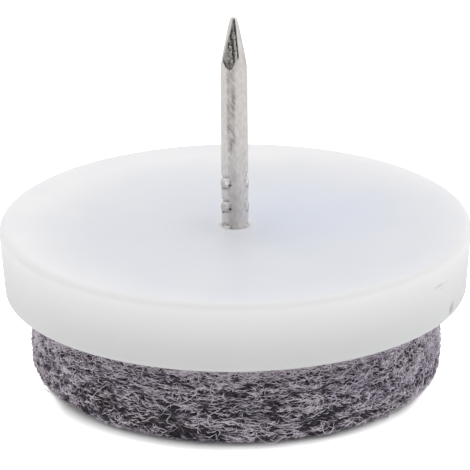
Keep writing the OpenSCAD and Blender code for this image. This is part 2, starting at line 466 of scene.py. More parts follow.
def gripMarks(a, z, headHigh):
    # A die's tooth threw up a ridge and left a groove above it. With t from the ridge's middle round the nail
    # and up from its middle along it, it stands out by rise * (1 - |t|^3) * (1 - up^2). A pit is torn at its
    # front end, beside a crest rubbed bright and painted with a highlight. The dark lines in the groove and
    # under the ridge are painted shade
    swell = np.zeros(np.broadcast(a, z).shape)
    groove, dirtAndShade, crestGlint = swell.copy(), swell.copy(), swell.copy()
    halfRidge, halfGroove = nail["gripHeight"] / 2, nail["grooveHeight"] / 2
    for row in range(nail["gripRows"]):
        middle = headHigh + nail["gripStart"] + row * nail["gripPitch"]
        for side, seed in ((0, 41), (180, 44)):
            t = ((fromFront(a) - nail["gripTurn"] - side + 180) % 360 - 180) / nail["gripReach"]
            front = t if side == 0 else -t
            rough = latticeNoise(a / (2 * math.pi), (z - middle + 0.6) / 1.2, 44, 15, seed + row)
            rough = rough * nail["gripWear"][row % 3]
            up = z - middle - nail["gripLean"] * front + 0.03 * rough
            ends = np.clip(1 - np.abs(t) ** 3, 0, 1)
            dome = ends * np.clip(1 - (up / halfRidge) ** 2, 0, 1)
            swell = np.maximum(swell, nail["gripRise"] * dome * (1 + 0.35 * rough))
            above = up - halfRidge - halfGroove * 0.7
            bite = ends * np.clip(1 - np.abs(above) / halfGroove, 0, 1)
            groove = np.maximum(groove, nail["grooveDepth"] * bite)
            lower = ends * bell(up + halfRidge * 1.05, 0.07)
            lower = lower * (0.5 + 0.3 * smoothStep(-0.2, 0.6, front) + 0.35 * rough)
            pit = bell(front - 0.93, 0.12) * bell(up + 0.1, 0.09) * (side == 0)
            rim = bell(front - 0.98, 0.07) * bell(up - 0.1, 0.2) * 0.4
            sharp = ends * bell(above, 0.06) * (0.35 + 0.45 * smoothStep(0.2, 0.8, front) + 0.3 * rough)
            pocks = ends * bell(up, 0.25) * np.clip(rough - 0.45, 0, 1)
            groove = np.maximum(groove, 0.03 * pit)
            dirtAndShade = np.maximum.reduce([dirtAndShade, lower, 1.1 * pit, rim, sharp, pocks])
            crest = bell(front - 0.68, 0.17) * bell(up - 0.03, 0.12) * nail["gripGlint"][row % 3]
            dirtAndShade = np.maximum(dirtAndShade, 0.22 * ends * bell(up, 0.3) * (1 - 1.2 * crest))
            crestGlint = np.maximum(crestGlint, crest)
    return swell - groove, np.clip(dirtAndShade, 0, 1), crestGlint


# Strokes torn in a face of the point: places across it from -1 to 1 and down from the tip in millimetres,
# with the stroke's width and how dark it is
tears = {
    "ridge": ([(0.71, 0.02), (0.76, 0.24), (0.89, 0.46), (0.91, 0.66), (0.88, 0.9)], 0.05, 0.9),
    "blot": ([(0.84, 0.4), (0.9, 0.52), (0.9, 0.72)], 0.075, 0.95),
    "lowTear": ([(0.88, 0.9), (0.98, 1.12), (1.02, 1.56), (1.02, 1.8), (1.05, 2.04), (1.1, 2.32)], 0.05, 1.0),
    "faceTop": ([(0.0, 0.46), (0.08, 0.7)], 0.06, 0.45),
    "middleTop": ([(0.0, 0.66), (-0.12, 0.88), (-0.3, 1.03), (-0.02, 1.2)], 0.055, 0.85),
    "split": ([(-0.01, 1.2), (0.19, 1.37), (0.3, 1.61), (0.34, 1.84), (0.3, 2.08), (0.35, 2.26)], 0.075, 1.0),
    "middleLow": ([(0.35, 2.26), (0.41, 2.38), (0.45, 2.46)], 0.06, 0.8),
    "spots": ([(-0.47, 1.37), (-0.58, 1.53), (-0.42, 1.69), (-0.18, 1.77)], 0.05, 0.85),
    "link": ([(-0.31, 1.42), (0.06, 1.35)], 0.035, 0.6),
    "lowLink": ([(-0.18, 1.75), (0.25, 1.64)], 0.035, 0.6),
    "dash": ([(-0.63, 1.98), (-0.44, 2.11)], 0.045, 0.5),
    "lowStreak": ([(-0.17, 2.4), (-0.22, 2.56), (-0.18, 2.68)], 0.05, 0.35),
    "lowCorner": ([(-1.0, 2.48), (-0.78, 2.62), (-0.6, 2.74)], 0.05, 0.8),
    "lowEdge": ([(-0.6, 2.74), (-0.17, 2.88), (0.17, 2.76)], 0.06, 0.3),
    "side": ([(-1.22, 2.0), (-1.2, 2.45)], 0.05, 0.3),
}
# Places that the tear left bright: points, width and how clean
cleanSpots = {
    "line": ([(0.62, 0.96), (0.65, 1.37), (0.64, 1.79)], 0.028, 0.35),
    "lowLine": ([(0.72, 1.85), (0.73, 2.12), (0.76, 2.32), (0.66, 2.52)], 0.03, 0.6),
    "dots": ([(0.74, 1.87), (0.76, 1.89)], 0.04, 0.9),
    "moreDots": ([(0.72, 2.11), (0.74, 2.13)], 0.045, 1.0),
    "nextDots": ([(0.77, 2.31), (0.78, 2.34)], 0.045, 1.0),
    "lowDots": ([(0.64, 2.51), (0.66, 2.53)], 0.04, 0.9),
    "inner": ([(0.2, 2.38), (0.22, 2.42)], 0.045, 0.8),
    "upper": ([(-0.28, 1.55), (-0.24, 1.6)], 0.035, 0.9),
    "midway": ([(0.02, 1.86), (0.05, 1.89)], 0.04, 0.85),
}
# The tear's foot and its left edge: places across the face, and millimetres down from the tip
tearFoot = {
    "across": [-1.3, -0.95, -0.6, -0.15, 0.2, 0.6, 1.1],
    "down": [2.5, 2.62, 2.8, 2.93, 2.83, 2.5, 2.2],
}
tearLeft = {"down": [0.3, 1.3, 2.3], "across": [-0.2, -1.0, -1.3]}


def strokeBell(x, y, points, width):
    # A bell of the distance to a broken line, the nearest of its straight parts
    nearest = np.full(np.broadcast(x, y).shape, 9.0)
    for (x0, y0), (x1, y1) in zip(points, points[1:]):
        t = np.clip(((x - x0) * (x1 - x0) + (y - y0) * (y1 - y0)) / ((x1 - x0) ** 2 + (y1 - y0) ** 2), 0, 1)
        nearest = np.minimum(nearest, np.hypot(x - x0 - t * (x1 - x0), y - y0 - t * (y1 - y0)))
    return bell(nearest, width)


def faceHalf(along):
    # Half the width between opposite faces of the point: tip / 2 + round (1 - exp(-d / 0.15)) + slope d
    return nail["tipWidth"] / 2 + nail["tipRound"] * (1 - np.exp(-along / 0.15)) + nail["pointSlope"] * along


def tearReach(along):
    # Half the width of a torn face, in millimetres
    return 0.65 * faceHalf(along)


def strongest(strokes, x, y):
    # The strongest of some strokes at each place, for x and y in millimetres across the face and down it
    return np.maximum.reduce([
        strength * strokeBell(x, y, [(across * tearReach(down), down) for across, down in points], width)
        for points, width, strength in strokes.values()
    ])


def pointRadius(a, along):
    # Section of the point: half / (|cos t|^p + |sin t|^p)^(1 / p), with t the turn from a face's middle
    t = a - math.radians(nail["pointTurn"] - 90)
    p = nail["cornerPower"]
    return faceHalf(along) / (np.abs(np.cos(t)) ** p + np.abs(np.sin(t)) ** p) ** (1 / p)


def tornFaces(a, along):
    # The two faces that the cutters tore: across runs over a face from -1 to 1, and along starts at the tip
    across = ((fromFront(a) - nail["pointTurn"] + 90) % 180 - 90) / nail["tornSpan"]
    u, v = a / (2 * math.pi), along / 3.2
    grit = latticeNoise(u, v, 150, 60, 73)
    specks = latticeNoise(u, v, 62, 56, 76)
    slow = latticeNoise(u, v, 60, 30, 74)
    breaks = latticeNoise(u - 0.06 * along, v, 70, 34, 75)  # slanting, where a tear skipped
    # the strokes wander a little, and their edges are rough
    x, y = across * tearReach(along) + 0.03 * slow + 0.025 * specks, along + 0.05 * grit
    deep, clean = strongest(tears, x, y), strongest(cleanSpots, x, y)
    # the tear is narrow at the tip, and its foot is a rounded tongue
    left = np.interp(along, tearLeft["down"], tearLeft["across"])
    foot = np.interp(across, tearFoot["across"], tearFoot["down"]) + 0.03 * slow
    torn = smoothStep(left - 0.12, left + 0.12, across) * (1 - smoothStep(1.08, 1.2, across))
    torn = torn * smoothStep(-0.05, 0.03, foot - along) * smoothStep(-0.05, 0.05, along)
    mottle = bell(across - 0.05, 0.55) * bell(along - 1.7, 0.8) * (0.14 + 0.45 * specks)
    lowEnd = 0.16 * smoothStep(2.25, 2.6, along)
    dark = 0.46 + 0.08 * grit + lowEnd + mottle + deep * (0.7 + 0.3 * specks + 0.25 * breaks) - 0.8 * clean
    return torn * np.clip(dark, 0, 1), torn, deep, grit


def makeNail(material):
    # A profile turned about the nail. The point joins the wire by a power mean, (wire^-p + point^-p)^(-1/p)
    head, headHigh, neckTop, rise = nailHeights()
    cols, shank = nail["columns"], nail["shank"] / 2
    neck = shank - nail["squeeze"] / 2
    z = np.concatenate([head[:, 1], rise])[:, None]
    r = np.concatenate([head[:, 0], np.interp(rise, [headHigh, neckTop], [neck, shank])])[:, None]
    a = np.linspace(0, 2 * math.pi, cols, endpoint=False)[None] + math.radians(nail["pointTurn"] - 90)
    isHead = np.arange(len(z))[:, None] < len(head)
    along = level["tip"] - z
    p = nail["shoulderPower"]
    pointed = (r ** -p + pointRadius(a, along) ** -p) ** (-1 / p)
    r = np.where(along < nail["pointLength"] * 1.6, pointed, r) + 0 * a
    swell, dirtAndShade, crestGlint = gripMarks(a, z, headHigh)
    dark, onFace, deep, grit = tornFaces(a, along)
    r = r + np.where(isHead, 0, swell)
    r = r - np.where(isHead, 0, onFace * (0.02 * deep + 0.006 * grit) * smoothStep(0.0, 0.5, along))
    # slow unevenness left by straightening the wire
    r = r + np.where(isHead, 0, 0.004 * latticeNoise(a / (2 * math.pi), along / 15, 7, 11, 55))
    turn = fromFront(a)
    drift = 4 * latticeNoise(0.1 + 0 * along, along / 15, 3, 16, 56)
    scuff = nail["scuff"]
    rubbed = 1 - smoothStep(*scuff["half"], np.abs(turn - scuff["turn"] - drift))
    rubbed = rubbed * smoothStep(*scuff["starts"], along) * (1 - 0.7 * smoothStep(*scuff["fades"], along))
    rubbed = rubbed * (1 + 0.5 * latticeNoise(a / (2 * math.pi), along / 15, 34, 30, 57))
    # oil and scale from the dies: greyest on the front of the neck, faint on the point but for its corner
    soiled = 0.23 * bell(turn + 6, 48) * (1 - smoothStep(level["rim"] + 0.4, neckTop + 1.4, z))
    onPoint = 1 - smoothStep(2.6, 3.1, along)
    soiled = soiled + onPoint * (0.09 + 0.13 * bell(turn - 73, 6) * smoothStep(0.2, 0.6, along))
    points = stackXyz(r * np.cos(a), r * np.sin(a), z).reshape(-1, 3)
    poles = np.array([[0, 0, level["feltTop"]], [0, 0, level["tip"]]])
    rows = len(z)
    fans = np.concatenate([capTriangles(rows * cols, 0, cols, False),
                           capTriangles(rows * cols + 1, (rows - 1) * cols, cols, True)])
    blank = np.zeros(2)
    # torn also carries the painted shade of the grip marks
    marks = {
        "torn": np.concatenate([np.clip(dark + soiled + 0.9 * dirtAndShade, 0, 1).ravel(), blank]),
        "rubbed": np.concatenate([np.broadcast_to(rubbed, (rows, cols)).ravel(), blank]),
        "crestGlint": np.concatenate([crestGlint.ravel(), blank]),
    }
    mesh = makeMesh("wireNail", np.concatenate([points, poles]), gridQuads(rows, cols), fans, marks)
    return addPiece(mesh, material, "nail")


def platedWire():
    # Zinc-plated mild steel wire: satin, with faint lines along the wire from the drawing die, a mottle of
    # plating grains, bare dark metal in the tears, and painted shade and a painted highlight on the grip
    # marks
    material, tree, shader = newMaterial("platedWire")
    place = addNode(tree, "ShaderNodeTexCoord").outputs["Object"]
    torn = addNode(tree, "ShaderNodeAttribute", attribute_name="torn").outputs["Fac"]
    rubbed = addNode(tree, "ShaderNodeAttribute", attribute_name="rubbed").outputs["Fac"]
    # plating grains, drawn 0.15 mm wide and longer along the wire
    stretch = addNode(tree, "ShaderNodeMapping", {"Scale": (1, 1, 0.45)}, {"Vector": place})
    grains = addNode(tree, "ShaderNodeTexNoise", {"Scale": 6000.0, "Detail": 3.0, "Roughness": 0.65},
                     {"Vector": stretch.outputs[0]})
    plating = addNode(tree, "ShaderNodeValToRGB", None, {"Fac": grains.outputs["Fac"]})
    setRamp(plating, [(0.25, "#ccc8c5"), (0.5, "#dad6d3"), (0.75, "#e6e3e0")])
    # slanting scratches in the rubbed streak, about 0.1 mm apart
    slant = addNode(tree, "ShaderNodeMapping", {"Rotation": (0, math.radians(-36), 0), "Scale": (1, 1, 4.5)},
                    {"Vector": place}, vector_type="TEXTURE")
    scratches = addNode(tree, "ShaderNodeTexNoise", {"Scale": 6500.0, "Detail": 2.0},
                        {"Vector": slant.outputs[0]})
    scratchy = addNode(tree, "ShaderNodeMapRange", {"From Min": 0.38, "From Max": 0.62, "To Min": 0.36},
                       {"Value": scratches.outputs["Fac"]})
    rubbedIn = addNode(tree, "ShaderNodeMath", None, {0: scratchy.outputs[0], 1: rubbed},
                       operation="MULTIPLY")
    worn = addNode(tree, "ShaderNodeMix", {"B": linearFromHex("#a09c9a")},
                   {"Factor": rubbedIn.outputs[0], "A": plating.outputs["Color"]}, data_type="RGBA")
    # painted highlight on the crests of the grip marks
    crestGlint = addNode(tree, "ShaderNodeAttribute", attribute_name="crestGlint").outputs["Fac"]
    bright = addNode(tree, "ShaderNodeMix", {"B": linearFromHex("#fdfbf9")},
                     {"Factor": crestGlint, "A": worn.outputs[2]}, data_type="RGBA")
    # dark bare metal of the tears, and painted shade in the grip marks' grooves and under their ridges
    bare = addNode(tree, "ShaderNodeMix", {"B": linearFromHex("#484643")},
                   {"Factor": torn, "A": bright.outputs[2]}, data_type="RGBA")
    tree.links.new(bare.outputs[2], shader.inputs["Base Color"])
    dull = addNode(tree, "ShaderNodeMapRange", {"To Min": 0.36, "To Max": 0.62}, {"Value": torn})
    tree.links.new(dull.outputs[0], shader.inputs["Roughness"])
    # draw lines along the wire, 0.05 mm apart
    drawn = addNode(tree, "ShaderNodeMapping", {"Scale": (1, 1, 0.02)}, {"Vector": place})
    lines = addNode(tree, "ShaderNodeTexNoise", {"Scale": 20000.0, "Detail": 2.0},
                    {"Vector": drawn.outputs[0]})
    lined = addNode(tree, "ShaderNodeBump", {"Strength": 0.2, "Distance": 0.01 * mm},
                    {"Height": lines.outputs["Fac"]})
    grained = addNode(tree, "ShaderNodeBump", {"Strength": 0.15, "Distance": 0.01 * mm},
                      {"Height": grains.outputs["Fac"], "Normal": lined.outputs["Normal"]})
    tree.links.new(grained.outputs["Normal"], shader.inputs["Normal"])
    shader.inputs["Metallic"].default_value = 1.0
    return material


# Felt: wool and hair in mixed greys, pressed and punched out. It is matt and streaky, with loose ends

felt = {
    "edge": 0.8,  # rounding of the worn lower edge
    "edgeWear": {"least": 0.1, "more": 0.4, "turn": -38, "width": 48},  # how much larger use has made it
    "inset": 0.13,  # how far the dark core lies under the pad's outside, the depth of its fibres
    "columns": 320,
    "wallFibres": 39000,
    "batches": 3,
    "soleFibres": 7000,
    "lowerShare": 0.46,  # of the fibres lie in the dark lower layer
    "lowerTones": (0.0, 0.4),
    "upperTones": (0.4, 1.05),
    "width": 0.058,  # of a fibre, about twice a real one, so that it shows
    "length": 0.46,  # of a middling fibre's visible stretch
    "lengthSpread": 0.42,
    "strayShare": 0.2,  # of the fibres point anywhere
    "spread": {"front": 11, "moreAside": 17},  # degrees that the others lie off level
    "bend": 34,
    "wiggle": 20,
    "steps": 3,  # points along a fibre
    "hairs": 34,
    "hairWidth": 0.048,
    "hairSteps": 12,
}


def feltCore():
    # Levels and radii of the core that the fibres lie on
    low, wide = level["felt"] + felt["inset"], radius["felt"] - felt["inset"]
    edge = felt["edge"] - felt["inset"]
    return low, wide, edge, level["foot"] - low - edge


def feltSwell(u, s):
    # The pad's outside is uneven by some 0.05 mm: two sizes of noise over the way round and the way down
    turn, down = u / (2 * math.pi * feltCore()[1]), np.clip(s, -1, 9) / 20 + 0.1
    return 0.05 * latticeNoise(turn, down, 34, 14, 81) + 0.03 * latticeNoise(turn, down, 96, 40, 82)


def feltPoint(u, s, out):
    # u runs round the pad, s down its outside from the plastic: the wall, a quarter circle and then the sole,
    # and out stands square off it. With t the turn round the edge, the outward normal is (cos t, -sin t).
    # The quarter circle is larger by worn, most at the front left, where the pad has had most use
    low, wide, edge, wall = feltCore()
    a = u / wide
    wear = felt["edgeWear"]
    worn = wear["least"] + wear["more"] * bell(fromFront(a) - wear["turn"], wear["width"])
    t = np.clip((s - wall) / edge, 0, math.pi / 2)
    inward = np.maximum(s - wall - edge * math.pi / 2, 0) * (1 - worn / (wide - edge))
    out = out + feltSwell(u, s) * np.cos(t)
    r = wide - edge - worn + (edge + worn + out) * np.cos(t) - inward
    z = low + edge + worn + np.maximum(wall - s, 0) * (1 - worn / wall) - (edge + worn + out) * np.sin(t)
    normal = stackXyz(np.cos(t) * np.cos(a), np.cos(t) * np.sin(a), -np.sin(t))
    z = np.clip(z, level["felt"] + 0.05, level["foot"] - 0.02)
    return stackXyz(r * np.cos(a), r * np.sin(a), z), normal


def tubes(paths, widths, outward):
    # Three-sided tubes along many paths at once. Each ring is p + w (cos b n + sin b m), with n the outward
    # direction made square to the path and m = tangent x n. Both ends are closed by one triangle
    count, steps = paths.shape[:2]
    tangent = np.gradient(paths, axis=1)
    tangent /= np.linalg.norm(tangent, axis=-1, keepdims=True) + 1e-9
    n = outward - tangent * np.sum(outward * tangent, -1, keepdims=True)
    n /= np.linalg.norm(n, axis=-1, keepdims=True) + 1e-9
    m = np.cross(tangent, n)
    b = 2 * math.pi * np.arange(3) / 3
    spread = np.cos(b)[:, None] * n[:, :, None] + np.sin(b)[:, None] * m[:, :, None]
    points = (paths[:, :, None] + widths[..., None, None] * spread).reshape(-1, 3)
    i, j = np.arange(steps - 1)[:, None], np.arange(3)[None]
    beside = (j + 1) % 3
    quad = np.stack([i * 3 + j, i * 3 + beside, (i + 1) * 3 + beside, (i + 1) * 3 + j], -1).reshape(-1, 4)
    first = np.arange(count)[:, None, None] * steps * 3
    ends = np.array([[0, 2, 1], [steps * 3 - 3, steps * 3 - 2, steps * 3 - 1]])
    return points, (first + quad).reshape(-1, 4), (first + ends).reshape(-1, 3)


def patches(u, s, acrossCells, downCells, seed):
    # Noise over the pad's outside, for u in millimetres round it and s down it
    return latticeNoise(u / (2 * math.pi * feltCore()[1]), (s + 1) / 20, acrossCells, downCells, seed)


def layFibres(rng, count, sLow, sHigh, deep, flat=False):
    # A fibre starts anywhere on the outside and runs with a heading that bends along it:
    # heading = first + bend t + wiggle sin(...), and its place is the running sum of (cos, sin) of that.
    # It rises by an arch (1 - (2t)^2) off its own depth, with both ends sunk
    wide = feltCore()[1]
    u0 = rng.uniform(0, 2 * math.pi * wide, count)
    s0 = rng.uniform(sLow, sHigh, count)
    length = np.clip(rng.lognormal(math.log(felt["length"]), felt["lengthSpread"], count), 0.2, 1.5)
    stray = rng.random(count) < (1.0 if flat else felt["strayShare"])
    aside = smoothStep(18, 60, np.abs(fromFront(u0 / wide)))
    spread = felt["spread"]["front"] + felt["spread"]["moreAside"] * aside
    first = np.where(stray, rng.uniform(-90, 90, count), rng.normal(0, 1, count) * spread)
    bend = rng.normal(0, felt["bend"], count) * np.where(stray, 1.8, 1.0)
    wiggle, phase = rng.normal(0, felt["wiggle"], count), rng.uniform(0, 2 * math.pi, count)
    t = np.linspace(-0.5, 0.5, felt["steps"])[None]
    heading = first[:, None] + bend[:, None] * t + wiggle[:, None] * np.sin(5 * t + phase[:, None])
    heading = np.radians(heading)
    step = (length / (felt["steps"] - 1))[:, None]
    u = u0[:, None] + np.cumsum(np.cos(heading) * step, 1)
    s = s0[:, None] + np.cumsum(np.sin(heading) * step, 1)
    u, s = u - (u.mean(1) - u0)[:, None], s - (s.mean(1) - s0)[:, None]
    if flat:
        # on the sole they lie every way, evenly over a disc: r = reach sqrt(random), turned into u and s
        r0, a0 = (sHigh - sLow) * np.sqrt(rng.random(count)), rng.uniform(0, 2 * math.pi, count)
        x, y = (r0 * np.cos(a0) - u0)[:, None] + u, (r0 * np.sin(a0) - s0)[:, None] + s
        u, s = np.arctan2(y, x) * wide, sHigh - np.hypot(x, y)
        u0, s0 = r0 * np.cos(a0), 12 + 0.4 * r0 * np.sin(a0)
    sunk, top = (0.0, 0.05) if deep else (0.05, 0.15)
    out = rng.uniform(sunk, top, count)[:, None] + 0.03 * (1 - (2 * t) ** 2) - 0.08 * np.abs(2 * t) ** 5
    return u0, s0, u, s, out


def makeFibres(name, material, count, sLow, sHigh, seed, flat=False):
    # Two layers: dark ones that fill the pad, and light ones over them. Twice as many light ones are laid as
    # are kept, so that they thin out in patches and leave dark gaps
    rng = np.random.default_rng(seed)
    below = int(count * felt["lowerShare"])
    lower = layFibres(rng, below, sLow, sHigh, True, flat)
    upper = layFibres(rng, (count - below) * 2, sLow, sHigh, False, flat)
    full = 0.6 * patches(upper[0], upper[1], 95, 130, 91) + 0.65 * patches(upper[0], upper[1], 220, 250, 92)
    bound = 1 - smoothStep(0.6, 1.3, upper[1])  # close under the plastic the fibres lie full and flush
    full = full * (0.55 + 0.45 * smoothStep(1.2, 3.0, upper[1])) * (1 - bound) + 0.6 * bound
    upper[4][:] += 0.05 * bound[:, None]
    order = np.argsort(-(full + rng.normal(0, 0.33, len(full))))[:count - below]
    u0, s0, u, s, out = [np.concatenate([lower[k], upper[k][order]]) for k in range(5)]
    path, normal = feltPoint(u, s, out)
    t = np.linspace(-1, 1, felt["steps"])[None]
    width = felt["width"] / 2 * rng.uniform(0.75, 1.2, count)[:, None] * (1 - 0.7 * np.abs(t) ** 5)
    width[:below] *= 1.3
    points, quads, ends = tubes(path, width, normal)
    shade = 0.26 * patches(u0, s0, 40, 46, 93) + 0.14 * patches(u0, s0, 120, 100, 94)
    # painted light makes the mix paler close under the plastic and a little paler at the sides. It is darker
    # at the front, most near the sole, and painted shade darkens it under the worn edge
    _, wide, edge, wall = feltCore()
    turn = fromFront(u0 / wide)
    shade = shade + 0.1 + 0.12 * (1 - smoothStep(1.6, 3.0, s0)) + 0.03 * smoothStep(30, 60, np.abs(turn))
    shade = shade - bell(turn + 4, 34) * (0.08 + 0.06 * smoothStep(2.6, 4.6, s0))
    shade = shade - 0.15 * bell(s0 - wall - 0.85 * edge, 0.22)
    tone = shade + np.concatenate([rng.uniform(*felt["lowerTones"], below),
                                   rng.uniform(*felt["upperTones"], count - below)])
    tone = tone + 0.4 * bell(turn, 34) * (tone - 0.52)  # more contrast at the front
    # painted light on the felt's top edge, in the shade of the plastic's overhang: it is pulled to one plain,
    # paler brownish grey
    paintedLightUnderBase = 1 - smoothStep(0.5, 1.4, s0)
    tone = tone + 0.85 * paintedLightUnderBase * (1.0 - tone)
    # the right side above the sole is pulled to a paler, more even grey
    rubbed = smoothStep(14, 38, turn) * (1 - smoothStep(2.2, 4.4, s0))
    tone = tone + 0.45 * rubbed * (0.88 - tone)
    lilac = (0.4 + 0.3 * smoothStep(10, 40, turn) + 0.5 * patches(u0, s0, 30, 40, 95)) * (1 - 0.6 * paintedLightUnderBase)
    marks = {
        "tone": np.repeat(np.clip(tone, 0, 1), felt["steps"] * 3),
        "lilac": np.repeat(lilac, felt["steps"] * 3),
    }
    return addPiece(makeMesh(name, points, quads, ends, marks), material, "felt_pad")


# Hairs that stand out in the photograph, listed one by one: degrees from the front, height and how far it
# stands off
strayHairs = {
    "straight": [(-43.0, 1.2, 0.05), (-40, 2.0, 0.16), (-36.4, 2.8, 0.06)],
    "hooked": [(-9.8, 3.7, 0.04), (-11, 3.1, 0.16), (-13, 2.7, 0.2), (-15.5, 2.4, 0.18), (-18, 2.2, 0.16),
               (-20.3, 1.4, 0.04)],
    "forked": [(-3.9, 2.35, 0.16), (-5.2, 2.15, 0.22), (-6.6, 1.95, 0.2), (-7.6, 1.6, 0.16),
               (-7.2, 1.2, 0.12), (-6.8, 0.8, 0.05)],
    "wispTop": [(-6.2, 4.1, 0.05), (-6.9, 3.4, 0.14), (-6.1, 2.9, 0.14), (-7.3, 2.4, 0.06)],
    "wispLeft": [(-9.4, 4.6, 0.05), (-9.9, 4.1, 0.14), (-8.6, 3.7, 0.05)],
    "tallRight": [(23.0, 4.8, 0.05), (21.9, 4.2, 0.16), (20.9, 3.7, 0.05)],
    "short": [(7.2, 3.75, 0.05), (6.6, 3.5, 0.14), (6.2, 3.2, 0.05)],
    "crooked": [(20.1, 3.1, 0.05), (21.7, 2.85, 0.16), (22.9, 2.6, 0.16), (23.1, 2.25, 0.14),
                (22.1, 1.8, 0.05)],
    "knot": [(-24.7, 4.5, 0.05), (-25.5, 4.0, 0.16), (-24.2, 3.6, 0.14), (-25.0, 3.3, 0.05)],
    "leftCurl": [(-20.3, 3.1, 0.05), (-22.5, 2.6, 0.14), (-21.0, 2.2, 0.16), (-19.8, 1.7, 0.05)],
    "farRight": [(47.6, 3.7, 0.05), (47.4, 3.3, 0.14), (46.7, 2.9, 0.05)],
    "atFoot": [(5.0, 0.62, 0.02), (8.1, 0.3, 0.2), (10.4, 0.34, 0.22), (12.8, 0.5, 0.03)],
}


def smoothThrough(points, count):
    # A smooth line through a few points: cubic steps 3t^2 - 2t^3 blended with the mean slope at each point
    points = np.array(points, float)
    slope = np.gradient(points, axis=0)
    t = np.linspace(0, len(points) - 1, count)
    i = np.minimum(t.astype(int), len(points) - 2)
    f = (t - i)[:, None]
    line = points[i] * (2 * f ** 3 - 3 * f ** 2 + 1) + points[i + 1] * (3 * f ** 2 - 2 * f ** 3)
    return line + slope[i] * (f ** 3 - 2 * f ** 2 + f) + slope[i + 1] * (f ** 3 - f ** 2)


def makeHairs(material):
    # Long single hairs over the fibres. The chosen ones follow their own points, and the others wander like
    # the fibres but stand further off
    rng = np.random.default_rng(17)
    _, wide, edge, wall = feltCore()
    steps, count = felt["hairSteps"], felt["hairs"]
    chosen = np.stack([smoothThrough(points, steps) for points in strayHairs.values()])
    u = np.radians(chosen[..., 0] - 90) * wide
    s = level["foot"] - chosen[..., 1]
    out = chosen[..., 2] + 0.1
    t = np.linspace(-0.5, 0.5, steps)[None]
    length = rng.uniform(1.0, 2.4, count)[:, None]
    first, bend = rng.uniform(-180, 180, count)[:, None], rng.normal(0, 90, count)[:, None]
    heading = np.radians(0.55 * first + bend * t + 30 * np.sin(7 * t + first))
    moreU = rng.uniform(0, 2 * math.pi * wide, count)[:, None]
    moreU = moreU + np.cumsum(np.cos(heading), 1) * length / steps
    moreS = rng.uniform(0.2, wall + edge, count)[:, None]
    moreS = moreS + np.cumsum(np.sin(heading), 1) * length / steps
    lift = rng.uniform(0.1, 0.24, count)[:, None] * (1 - (2 * t) ** 2) + 0.1
    u, s, out = np.concatenate([u, moreU]), np.concatenate([s, moreS]), np.concatenate([out, lift])
    path, normal = feltPoint(u, s, out)
    total = len(u)
    width = felt["hairWidth"] / 2 * rng.uniform(0.8, 1.2, total)[:, None] * (1 - 0.7 * np.abs(2 * t) ** 4)
    points, quads, ends = tubes(path, width, normal)
    marks = {
        "tone": np.repeat(rng.uniform(0.8, 1.0, total), steps * 3),
        "lilac": np.repeat(rng.uniform(0.2, 0.7, total), steps * 3),
    }
    return addPiece(makeMesh("feltHairs", points, quads, ends, marks), material, "felt_pad")


def makeFeltCore(material):
    # A punched disc, one profile turned about the nail: the hidden top, then the outside that feltPoint gives
    low, wide, edge, wall = feltCore()
    cols = felt["columns"]
    u = np.linspace(0, 2 * math.pi * wide, cols, endpoint=False)[None]
    sole = wall + edge * math.pi / 2  # where it starts
    s = np.concatenate([
        np.linspace(0.02, wall, 22),
        wall + edge * np.linspace(0.1, 1, 9) * math.pi / 2,
        sole + np.linspace(0.3, wide - edge - 0.05, 30),
    ])[:, None]
    outside, _ = feltPoint(u, s, 0.045 * patches(u, s, 260, 160, 96) - 0.02)
    a = u / wide
    topRadius = np.array([[0.05], [wide * 0.5], [wide - 0.05], [wide]])
    topLevel = level["feltTop"] - np.array([[0], [0], [0], [0.05]])
    top = stackXyz(topRadius * np.cos(a), topRadius * np.sin(a), topLevel)
    grid = np.concatenate([top, outside])
    rows = len(grid)
    points = np.concatenate([grid.reshape(-1, 3), [[0, 0, level["feltTop"]], [0, 0, low]]])
    fans = np.concatenate([capTriangles(rows * cols, 0, cols, True),
                           capTriangles(rows * cols + 1, (rows - 1) * cols, cols, False)])
    under = np.concatenate([np.zeros((len(top), 1)), smoothStep(wall + edge, wall + edge * 1.6, s)]) + 0 * a
    marks = {"sole": np.concatenate([under.ravel(), [0, 1]])}
    mesh = makeMesh("feltCore", points, gridQuads(rows, cols)[:, ::-1], fans, marks)
    core = addPiece(mesh, material, "felt_pad")
    return core


def feltFibre():
    # Recycled wool and hair felt: single fibres from near black to pale grey, some a cool lilac. It is matt,
    # with a little sheen at grazing angles
    material, tree, shader = newMaterial("feltFibre")
    tone = addNode(tree, "ShaderNodeAttribute", attribute_name="tone").outputs["Fac"]
    lilac = addNode(tree, "ShaderNodeAttribute", attribute_name="lilac").outputs["Fac"]
    grey = setRamp(addNode(tree, "ShaderNodeValToRGB", None, {"Fac": tone}),
                   [(0.0, "#2d272d"), (0.3, "#5f565e"), (0.6, "#afa4ae"), (1.0, "#f2e9f0")])
    cool = setRamp(addNode(tree, "ShaderNodeValToRGB", None, {"Fac": tone}),
                   [(0.0, "#2b2630"), (0.3, "#5a5363"), (0.6, "#a89fb2"), (1.0, "#ede4f1")])
    mixed = addNode(tree, "ShaderNodeMix", None,
                    {"Factor": lilac, "A": grey.outputs["Color"], "B": cool.outputs["Color"]},
                    data_type="RGBA")
    tree.links.new(mixed.outputs[2], shader.inputs["Base Color"])
    shader.inputs["Roughness"].default_value = 0.85
    shader.inputs["Specular IOR Level"].default_value = 0.25
    shader.inputs["Sheen Weight"].default_value = 0.2
    shader.inputs["Sheen Roughness"].default_value = 0.5
    return material


